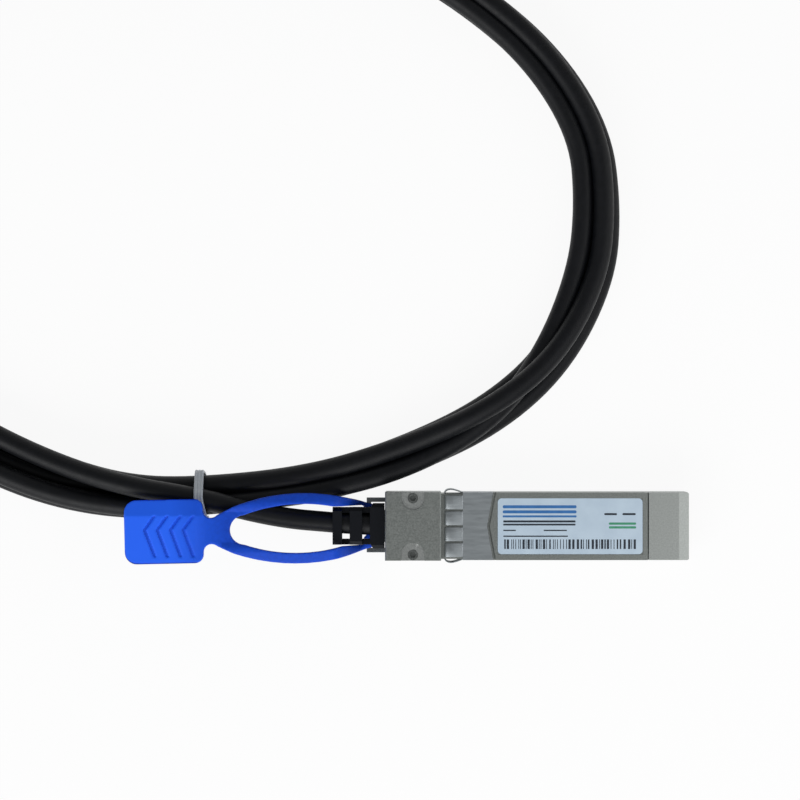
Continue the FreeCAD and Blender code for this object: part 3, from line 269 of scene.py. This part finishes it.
# each side's place in y and z, its turn about x, and its fingers' rise, number and middle height
broad_rise, narrow_rise, narrow_level = 0.33, 0.65, 5.025
sides = [
    ((0, body_top), 0, broad_rise, 4, 0.0),
    ((0, body_low), 180, broad_rise, 4, 0.0),
    ((body_half, 0), -90, narrow_rise, 2, narrow_level),
    ((-body_half, 0), 90, narrow_rise, 2, narrow_level),
]
for end, middle in ends.items():
    collar = welded_copy(f"{end}_spring_collar", f"{end}_collar_sheet")
    bpy.ops.object.mode_set(mode="EDIT")
    bpy.ops.mesh.select_mode(type="VERT")
    bpy.ops.mesh.select_all(action="DESELECT")
    bpy.ops.object.mode_set(mode="OBJECT")
    for vertex in collar.data.vertices:
        vertex.select = vertex.co.x < (finger_root - 0.01) * mm
    bpy.ops.object.mode_set(mode="EDIT")
    bpy.ops.mesh.delete(type="VERT")
    bpy.ops.object.mode_set(mode="OBJECT")
    leaves = [collar]
    for (across, level), turn, rise, count, along in sides:
        for n in range(count):
            offset = (n - (count - 1) / 2) * finger_pitch
            bpy.ops.mesh.primitive_grid_add(x_subdivisions=14, y_subdivisions=2, size=1)
            finger = bpy.context.object
            for vertex in finger.data.vertices:
                x, y = vertex.co.x + 0.5, vertex.co.y
                # the bow: steep to its crown near the free end, then long and almost straight to the root
                bow = math.sin(math.pi * min(1, x**0.62))
                height = max(0, rise * bow) - sheet
                vertex.co = (collar_rear + x * finger_long, y * finger_wide, height)
            apply(finger, "SOLIDIFY", thickness=sheet, offset=1)
            cos, sin = math.cos(math.radians(turn)), math.sin(math.radians(turn))
            for vertex in finger.data.vertices:
                x, y, z = vertex.co
                y += offset if turn % 180 == 0 else 0
                y, z = y * cos - z * sin, y * sin + z * cos
                z += along + (offset if turn % 180 else 0)
                vertex.co = (x * mm, (y + across + middle) * mm, (z + level) * mm)
            leaves.append(finger)
    join(leaves)
    break_edges(collar, 0.05, angle=40)
    finish(collar, stainless, stainless_highlight_edge, "cable_assembly", "stainless_sheet", f"{end}_spring_collar")

# ---------------------------------------------------------------- labels
# A satin polyester film in the cover's recess. Its print is plain fields of colour: it names nothing.
film = surface("polyester_film", "c3d5e4", "bccede", 3.0, (0.3, 0.4), 0.03)
# the film's cut edge is painted lighter: a painted highlight on it
film_edge_highlight = surface("film_cut_edge_highlight", "f0f4f8", "e2e9f0", 1.0, (0.4, 0.5), 0.03)
inks = {
    "blue": surface("blue_ink", "3a74b4", "346ca9", 1.0, (0.35, 0.45), 0.03),
    "black": surface("black_ink", "2a333e", "242c36", 1.0, (0.35, 0.45), 0.03),
    "green": surface("green_ink", "4b9c78", "44906e", 1.0, (0.35, 0.45), 0.03),
}


def flat_field(name, x0, x1, y0, y1, corner, low, thick):
    """A thin plate with round corners, lying flat."""
    bpy.ops.mesh.primitive_plane_add(size=1)
    plate = bpy.context.object
    plate.name = name
    for vertex in plate.data.vertices:
        x, y = x0 if vertex.co.x < 0 else x1, y0 if vertex.co.y < 0 else y1
        vertex.co = (x * mm, y * mm, low * mm)
    bpy.ops.object.mode_set(mode="EDIT")
    bpy.ops.mesh.select_all(action="SELECT")
    bpy.ops.mesh.bevel(offset=corner * mm, segments=4, affect="VERTICES")
    raise_outline(thick * mm)
    return plate


# each plain bar's ink, its ends in x, its edges in y and the radius of its corners
print_fields = [
    ("blue", 23.3, 37.9, 3.55, 4.15, 0.25),
    ("blue", 23.3, 37.9, 2.55, 3.15, 0.25),
    ("blue", 23.3, 37.9, 1.75, 2.15, 0.15),
    ("black", 23.4, 37.7, 0.75, 1.15, 0.1),
    ("black", 23.4, 37.7, 0.15, 0.5, 0.1),
    ("black", 23.4, 25.9, -0.95, -0.7, 0.08),
    ("black", 31.4, 36.0, -0.95, -0.7, 0.08),
    ("black", 23.4, 36.2, -2.1, -1.85, 0.08),
    ("black", 43.4, 45.9, 2.2, 2.6, 0.15),
    ("black", 47.0, 49.6, 2.2, 2.6, 0.15),
    ("green", 44.3, 49.7, 0.3, 0.75, 0.2),
    ("green", 44.3, 49.7, -0.45, 0.0, 0.2),
]
# plain stripes of mixed widths along the lower edge
stripes, x, stripes_end = random.Random(7), 23.6, 49.4
while x < stripes_end:
    width = stripes.choice((0.15, 0.15, 0.3, 0.45))
    print_fields.append(("black", x, x + width, -4.5, -2.6, 0.02))
    x += width + stripes.choice((0.2, 0.3, 0.45))
label_rear, label_front, label_half, label_corner = 22.3, 51.0, 5.55, 0.8
label_low, label_thick, ink_low, ink_thick = 9.15, 0.12, 9.265, 0.012
for end, middle in ends.items():
    edges = (label_rear, label_front, middle - label_half, middle + label_half)
    sheet_film = flat_field(f"{end}_label_film", *edges, label_corner, label_low, label_thick)
    break_edges(sheet_film, 0.05, segments=1)
    finish(sheet_film, film, film_edge_highlight, "cable_assembly", "label_film", f"{end}_label")
    fields = []
    for n, (ink, x0, x1, y0, y1, corner) in enumerate(print_fields):
        edges = (x0, x1, middle + y0, middle + y1)
        field = flat_field(f"field_{n}", *edges, corner, ink_low, ink_thick)
        field.data.materials.append(inks[ink])
        fields.append(field)
    join(fields)
    fields[0].name = f"{end}_label_print"
    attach(fields[0], "cable_assembly")

# ---------------------------------------------------------------- circuit card and wiring
# Woven glass laminate under green solder mask, gold-plated contacts, moulded chips, foil-wrapped pairs
# and a brass crimp with turning marks round it. They keep their CAD shapes.
ringed = (6, 1, 1)
inside = {
    "paddle_card": surface("green_solder_mask", "1f5a38", "184a2d", 0.6, (0.3, 0.42), 0.1),
    "edge_contacts": surface("gold_plate", "dcb25a", "c99d45", 0.4, (0.22, 0.34), 0.05, 1.0),
    "card_chips": surface("moulded_epoxy", "232426", "1a1b1d", 0.25, (0.5, 0.65), 0.2),
    "transmit_pair": surface("foil_wrap", "c3c7cb", "a9adb2", 0.8, (0.25, 0.45), 0.5, 1.0),
    "crimp_ferrule": surface("turned_brass", "bd9c5c", "a88748", 0.3, (0.28, 0.4), 0.1, 1.0, ringed),
    "return_spring": surface("spring_steel", "8d9297", "777c82", 0.3, (0.3, 0.42), 0.08, 1.0),
}
inside["receive_pair"] = inside["transmit_pair"]
for end in ends:
    for part, material in inside.items():
        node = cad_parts[f"{end}_{part}"]
        node.data.materials.clear()
        node.data.materials.append(material)

# ---------------------------------------------------------------- strain reliefs
# Soft black rubber, moulded on the cable as two ribs between flex slots, with side bars that hold them.
def add_block(low, high):
    """A block between two corners."""
    bpy.ops.mesh.primitive_cube_add(size=1)
    block = bpy.context.object
    for vertex in block.data.vertices:
        vertex.co = [(a if c < 0 else b) * mm for c, a, b in zip(vertex.co, low, high)]
    return block


rubber = surface("moulded_rubber", "090d15", "070a10", 0.3, (0.45, 0.6), 0.25, Specular_IOR_Level=0.2)
# the rounded edges get a lighter rubber: a painted highlight on them
rubber_edge_highlight = surface("rubber_edge_highlight", "181d26", "11151c", 0.3, (0.4, 0.55), 0.2, Specular_IOR_Level=0.3)
shade_web_x, shade_web_y, shade_web_z = (-9.9, -2.9), (1.9, 3.4), (4.9, 5.5)
for end, middle in ends.items():
    boot = welded_copy(f"{end}_strain_relief", f"{end}_rubber_boot")
    # a thin rubber web closes the two slots on the inner side of the bend: a dark sheet put there as painted
    # shadow for the shade under the slots
    low, high = ((x, middle + y, z) for x, y, z in zip(shade_web_x, shade_web_y, shade_web_z))
    join([boot, add_block(low, high)])
    break_edges(boot, 0.22, segments=3)
    finish(boot, rubber, rubber_edge_highlight, "cable_assembly", "boot_rubber", f"{end}_strain_relief")

# ---------------------------------------------------------------- latch sliders and screws
# Nickel-plated sheet steel for the slider, duller than its edges, which are painted lighter as a painted
# highlight, and socket-head screws turned from dark steel, with the same painted highlight on their edges.
plated_steel = surface("plated_steel", "8f9397", "7f8387", 0.4, (0.25, 0.4), 0.1, 1.0)
steel_edge_highlight = surface("steel_edge_highlight", "e2e5e8", "cdd1d5", 0.4, (0.2, 0.3), 0.05, 1.0)
turned_steel = surface("turned_steel", "7d807e", "6c6f6d", 0.3, (0.4, 0.5), 0.05, 1.0)
for end in ends:
    slider = welded_copy(f"{end}_latch_slider", f"{end}_slider_sheet")
    break_edges(slider, 0.06)
    finish(slider, plated_steel, steel_edge_highlight, f"{end}_latch", "slider_steel", f"{end}_latch_slider")
    screws = welded_copy(f"{end}_cover_screws", f"{end}_socket_screws")
    break_edges(screws, 0.16)
    finish(screws, turned_steel, steel_edge_highlight, "cable_assembly", "screw_steel", f"{end}_cover_screws")

# ---------------------------------------------------------------- pull tabs
# One soft moulding in blue elastomer: a ring round the cable and a ridged finger pad with chevron grooves
# for grip. Everything on it is rounded, and its skin has the faint mist of a mould.
elastomer = surface("blue_elastomer", "124ccf", "1146c2", 0.8, (0.45, 0.55), 0.1, Specular_IOR_Level=0.2)
# the pad, at the tab's far end, is painted lighter than the ring, a painted highlight for the light that
# falls on it, and this passes into the ring over the neck
tree = elastomer.node_tree
base_colour = tree.nodes["Principled BSDF"].inputs["Base Color"]
place = add_node(tree, "SeparateXYZ", {"Vector": add_node(tree, "TexCoord").outputs["Object"]})
neck_to_painted_pad = {"Value": place.outputs["X"], "From Min": -31 * mm, "From Max": -42 * mm}
pad_painted_light = add_node(tree, "MapRange", neck_to_painted_pad).outputs["Result"]
ring_and_painted_pad_blues = {"Color1": base_colour.links[0].from_socket, "Color2": srgb("2468ff")}
painted_light_tint = add_node(tree, "MixRGB", {"Fac": pad_painted_light, **ring_and_painted_pad_blues})
tree.links.new(painted_light_tint.outputs["Color"], base_colour)
# the chevron grooves' faces get a darker blue than the pad: painted shade in the grooves
groove_shade_blue = surface("blue_groove_painted_shade", "1952e0", "174bd2", 0.8, (0.5, 0.6), 0.1, Specular_IOR_Level=0.15)
pad_top, groove_low, ridge_y = 14.4, 14.1, 2.2
# the chevrons' apexes in x and y, their ends in y, and how deep and half as wide they are
apexes, apex_y, chevron_from, chevron_to = (-47.2, -44.7, -42.1, -39.6), -0.5, -6.1, ridge_y + 0.2
chevron_deep, chevron_half, chevron_ease = 0.32, 0.5, 0.4
# how far each arm of a chevron runs along the tab for a millimetre across it
upper_run, lower_run = 0.72, 0.37
# the corners of the tab's underside in its side view, x and z
bends = [(-60, 12.6), (-34, 12.6), (-9, 8.3), (-4.7, 1.93), (9, 1.93)]
bend_from, ring_far, pad_near = -5.5, -32, -35.2
arm_middle, arm_lean, broad_slope, short_slope = 5.9, 0.38, 0.1, 0.26


def underside(x):
    """The straight runs of the tab's side view."""
    for (x0, z0), (x1, z1) in zip(bends, bends[1:]):
        if x <= x1:
            return z0 + (z1 - z0) * (x - x0) / (x1 - x0)


def groove(x, y):
    """How deep the four chevron grooves are at a place on the pad."""
    if not chevron_from < y < chevron_to:
        return 0
    run = (upper_run if y > apex_y else lower_run) * abs(y - apex_y)
    ease = min(1, (chevron_to - y) / chevron_ease, (y - chevron_from) / chevron_ease)
    return chevron_deep * ease * max(0, *(1 - abs(x - apex - run) / chevron_half for apex in apexes))


for end, middle in ends.items():
    tab = welded_copy(f"{end}_pull_tab", f"{end}_moulded_tab")
    for vertex in tab.data.vertices:
        if abs(vertex.co.z - groove_low * mm) < 0.03 * mm:
            vertex.co.z = pad_top * mm
    apply(tab, "REMESH", mode="VOXEL", voxel_size=0.18 * mm, use_smooth_shade=True)
    apply(tab, "SMOOTH", factor=0.5, iterations=8)
    for vertex in tab.data.vertices:
        x, y, z = vertex.co.x / mm, vertex.co.y / mm - middle, vertex.co.z / mm
        # each bend is eased over two millimetres
        if x < bend_from:
            vertex.co.z += sum(underside(x + 0.5 * n) - underside(x) for n in range(-2, 3)) / 5 * mm
        if x > ring_far:
            # the ring's two arms lean outwards, and the lean fades out towards the plug and the tab's middle
            share = min(1, max(0, abs(y) - 3) / 2, max(0, -6 - x) / 3)
            vertex.co.z -= arm_lean * (abs(y) - arm_middle) * share * mm
        elif z > pad_top - 0.7:
            # the finger pad has a low ridge along it, and chevron grooves below that
            slope = broad_slope * (ridge_y - y) if y < ridge_y else short_slope * (y - ridge_y)
            fall = slope * min(1, (pad_near - x) / 2) if x < pad_near else 0
            vertex.co.z -= (fall + groove(x, y)) * mm
    tab.data.materials.append(elastomer)
    tab.data.materials.append(groove_shade_blue)
    # faces deep in a groove take the darker blue of the painted shade
    for face in tab.data.polygons:
        x, y, z = face.center / mm
        if z > pad_top - 1.5 and groove(x, y - middle) > 0.12:
            face.material_index = 1
    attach(tab, f"{end}_latch")
    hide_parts(f"{end}_pull_tab")

# ---------------------------------------------------------------- the cable
# One two-metre twinax cable: out of the near boot, over the bundle, round in turns and into the far boot.
# Its black vinyl jacket was extruded, so it is smooth and a little glossy.
cable_thick = 4.1
# places along the middle of the bundle, once round from the cable tie
stations = [
    (-36.8, 5.1), (-52, 5.9), (-68, 10.3), (-84, 18.6), (-98, 29.6), (-107.3, 45.4),
    (-110.2, 64), (-107.3, 82.6), (-98, 98.6), (-84, 109.3), (-68, 116), (-52, 119.9),
    (-35, 121.3), (-18, 120), (0, 115.5), (17.9, 104.8), (31.6, 92.6), (40.4, 77.9),
    (42.3, 64), (40.8, 50.4), (33.3, 34.2), (21.2, 22.4), (4.3, 13.6), (-14.5, 7.5),
]
# each turn's place in the bundle: station, distance outwards from its middle, height
turns = [
    [(1, -2.6, 10.0), (2, -3.3, 6.9), (3, -2.8, 6.2), (5, -2.2, 5.6), (10, -2.2, 5.6), (13, -2.5, 5.9),
     (15, -2.1, 5.9), (16, -2.5, 5.9), (19, -3.3, 5.8), (20, -2.2, 5.7), (21, 0.6, 5.7), (22, 1.8, 5.9),
     (23, 0.5, 6.1)],
    [(0, 0.2, 6.3), (1, 1.9, 6.0), (2, 3.1, 6.1), (3, 3.9, 5.8), (5, 1.9, 5.6), (10, 1.9, 5.6),
     (13, 1.1, 6.3), (19, 1.1, 6.4), (20, 0.2, 9.2), (21, -1.5, 9.6), (22, -2.5, 6.4), (23, -3.1, 6.1)],
    [(0, -3.5, 6.3), (1, -2.6, 6.0), (2, -2.9, 2.05), (3, -2.3, 2.05), (5, -4.3, 2.05), (10, -4.3, 2.05),
     (13, -2.0, 2.05), (16, -1.9, 2.05), (20, -1.5, 2.05), (21, -2.2, 2.05), (23, -2.8, 2.05)],
    [(0, -3.4, 2.55), (1, -1.5, 2.05), (2, 0.5, 2.05), (3, 1.4, 2.05), (5, -0.2, 2.05), (11, -0.2, 2.05),
     (13, 1.8, 2.05), (15, 1.6, 2.05), (16, 1.9, 2.05), (19, 2.8, 2.05), (21, 1.9, 2.05), (23, 0.9, 2.05)],
    [(0, 0.0, 2.55), (1, 2.5, 2.05), (2, 3.9, 2.05), (3, 5.0, 2.05), (5, 3.9, 2.05), (8, 3.9, 2.05),
     (9, 4.4, 2.05)],
]
# the near lead, the turns one after another, and the far lead
route = [
    (2.1, 0, 6.5), (-4, 0.25, 6.5), (-8, 0.45, 6.5), (-12, 0.8, 6.5), (-19, 1.4, 6.9), (-27, 3.0, 8.5),
    (-37, 5.7, 9.9),
]
for turn in turns:
    for (first, u0, z0), (last, u1, z1) in zip(turn, turn[1:] + turn[-1:]):
        for n in range(first, max(last, first + 1)):
            share = (n - first) / max(last - first, 1)
            before, here, after = (Vector(stations[(n + k) % len(stations)]) for k in (-1, 0, 1))
            run = (after - before).normalized()
            outwards = Vector((-run.y, run.x))
            # the smooth line runs inside its points by an eighth of their bend, so they stand that far out
            reach = u0 + (u1 - u0) * share + (before - 2 * here + after).length / 8
            route.append((*(here + outwards * reach), z0 + (z1 - z0) * share))
route += [
    (-66, 120.9, 2.1), (-50, 124.4, 2.4), (-36, 126.8, 4.0), (-22, 127.9, 6.0), (-10, 128, 6.5),
    (2.1, 128, 6.5),
]

bpy.ops.curve.primitive_bezier_curve_add()
cable = bpy.context.object
cable.name = "cable"
cable.data.splines.clear()
spline = cable.data.splines.new("NURBS")
spline.points.add(len(route) - 1)
for point, place in zip(spline.points, route):
    point.co = (*(c * mm for c in place), 1)
spline.order_u = 3
spline.use_endpoint_u = True
spline.resolution_u = 8
cable.data.bevel_depth = cable_thick / 2 * mm
cable.data.bevel_resolution = 6
vinyl = surface("black_vinyl_jacket", "090b10", "06080c", 1.2, (0.46, 0.56), 0.06, Specular_IOR_Level=0.26)
cable.data.materials.append(vinyl)
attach(cable, "cable_assembly")
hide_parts("cable_coil", "near_lead", "far_lead")

# ---------------------------------------------------------------- cable tie
# A nylon strap with three ridges along it, pulled round the bundle and the strand over it, and its locking
# head on the outer side. Nylon is milky, so some light goes through.
nylon = surface("natural_nylon", "d6dce2", "c8cfd6", 0.5, (0.28, 0.38), 0.1, Transmission_Weight=0.3)
strap_middle, strap_wide, strap_thick, strap_bend, ridge_high = -36.8, 1.8, 0.48, 0.9, 0.12
strap_lean = 0.8
# the corners of the strap's inner line, y and z, before they are rounded
loop = [(2.1, 0.65), (9.9, 0.65), (10.65, 8.25), (6.3, 11.85), (3.4, 11.85), (2.1, 10.45)]
bpy.ops.mesh.primitive_circle_add(vertices=len(loop), fill_type="NOTHING")
tie = bpy.context.object
tie.name = "nylon_tie"
for vertex, (y, z) in zip(tie.data.vertices, loop):
    vertex.co = ((strap_middle - strap_wide / 2) * mm, y * mm, z * mm)
steps = 12
bpy.ops.object.mode_set(mode="EDIT")
bpy.ops.mesh.select_all(action="SELECT")
bpy.ops.mesh.bevel(offset=strap_bend * mm, segments=5, affect="VERTICES")
for _ in range(steps):
    bpy.ops.mesh.extrude_region_move(TRANSFORM_OT_translate={"value": (strap_wide / steps * mm, 0, 0)})
bpy.ops.mesh.select_all(action="SELECT")
bpy.ops.mesh.normals_make_consistent(inside=False)
bpy.ops.object.mode_set(mode="OBJECT")
apply(tie, "SOLIDIFY", thickness=strap_thick * mm, offset=1)
hub = Vector((6.4, 6.2))
for vertex in tie.data.vertices:
    x, y, z = vertex.co / mm
    away = (Vector((y, z)) - hub).normalized()
    across = (x - strap_middle) / strap_wide + 0.5
    ridge = ridge_high * abs(math.sin(3 * math.pi * across))
    # the strap leans a little towards the plug where it dips under the finger pad
    lean = strap_lean * min(1, max(0, (5.5 - y) / 3.4)) * min(1, max(0, (z - 6) / 3))
    vertex.co = ((x + lean) * mm, (y + away.x * ridge) * mm, (z + away.y * ridge) * mm)
# the locking head, and the strap's cut end that comes out of it
head = add_block((-38.4, -0.5, 3.4), (-35.2, 1.9, 6.6))
stub = add_block((-37.6, 0.4, 2.6), (-36.0, 1.0, 3.5))
join([tie, head, stub])
apply(tie, "BEVEL", width=0.12 * mm, segments=2, limit_method="ANGLE", angle_limit=math.radians(50))
bpy.ops.object.shade_smooth()
apply(tie, "WEIGHTED_NORMAL", weight=100, keep_sharp=True)
tie.data.materials.append(nylon)
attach(tie, "cable_assembly")
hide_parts("cable_tie")
